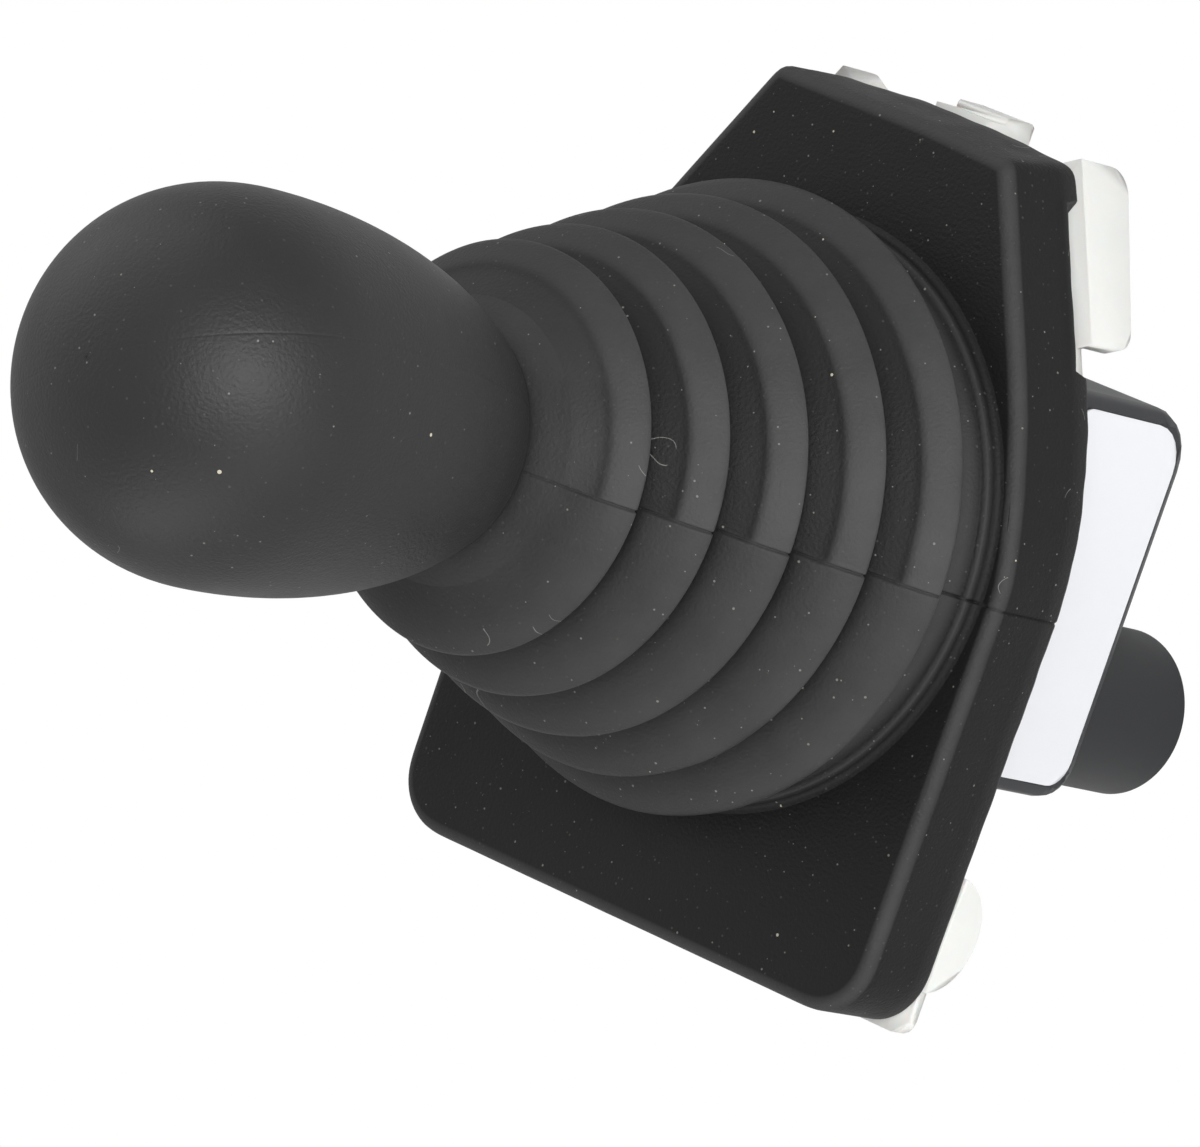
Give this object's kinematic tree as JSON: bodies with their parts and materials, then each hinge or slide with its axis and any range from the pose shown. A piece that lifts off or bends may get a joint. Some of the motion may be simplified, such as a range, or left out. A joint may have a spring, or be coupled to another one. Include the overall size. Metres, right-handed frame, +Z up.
{
  "type": "industrial joystick",
  "caption": "Two-axis panel joystick with an egg knob, a ribbed rubber bellows on a flange cap, a base plate with tabs, a housing and a round connector.",
  "frame": {"origin": "centre of the four mounting inserts, in the mounting face under the base plate, on the lever's axis", "axes": "+Z up the lever at rest to the knob, +X to the side with the label, +Y to the narrow end of the flange"},
  "size_m": [0.0782, 0.1056, 0.186],
  "materials": {
    "soft_rubber": "soft matte moulded rubber",
    "bellows_rubber": "matte moulded rubber with light dust",
    "white_nylon": "natural translucent nylon",
    "black_plastic": "satin moulded plastic",
    "label_film": "blank white label film",
    "bright_steel": "ground steel",
    "spring_steel": "oiled spring wire",
    "zinc_steel": "zinc plated",
    "aluminium": "machined",
    "brass": "turned",
    "board_green": "solder resist",
    "chip_black": "moulded package",
    "insulator": "insulating resin"
  },
  "bodies": {
    "base": {"bellows": "bellows_rubber", "base_plate": "white_nylon", "mounting_inserts": "brass", "gate_plate": "zinc_steel", "bearing_bushes": "brass", "pitch_spring": "spring_steel", "housing": "black_plastic", "housing_seal": "bellows_rubber", "housing_screws": "zinc_steel", "label_plate": "label_film", "circuit_board": "board_green", "hall_sensor": "chip_black", "board_chips": "chip_black", "connector_shell": "black_plastic", "connector_seal": "bellows_rubber", "connector_nut": "black_plastic", "contact_block": "insulator", "contact_pins": "brass"},
    "ring": {"gimbal_ring": "aluminium", "ring_pins": "bright_steel", "roll_spring": "spring_steel"},
    "lever": {"knob": "soft_rubber", "knob_insert": "brass", "jam_nut": "zinc_steel", "lever_shaft": "bright_steel", "neck_collar": "black_plastic", "pivot_block": "aluminium", "inner_axle": "bright_steel", "axle_clips": "spring_steel", "stop_sleeve": "white_nylon", "magnet_holder": "black_plastic", "magnet": "bright_steel"}
  },
  "joints": [
    {"name": "tilt_y", "type": "hinge", "parent": "base", "child": "ring", "pos_m": [0, 0, 0.019], "axis": [1, 0, 0], "range_deg": [-20, 20], "stiffness_Nm_per_rad": 2, "deforming": ["pitch_spring", "bellows"]},
    {"name": "tilt_x", "type": "hinge", "parent": "ring", "child": "lever", "pos_m": [0, 0, 0.019], "axis": [0, 1, 0], "range_deg": [-20, 20], "stiffness_Nm_per_rad": 2, "deforming": ["roll_spring"]}
  ]
}
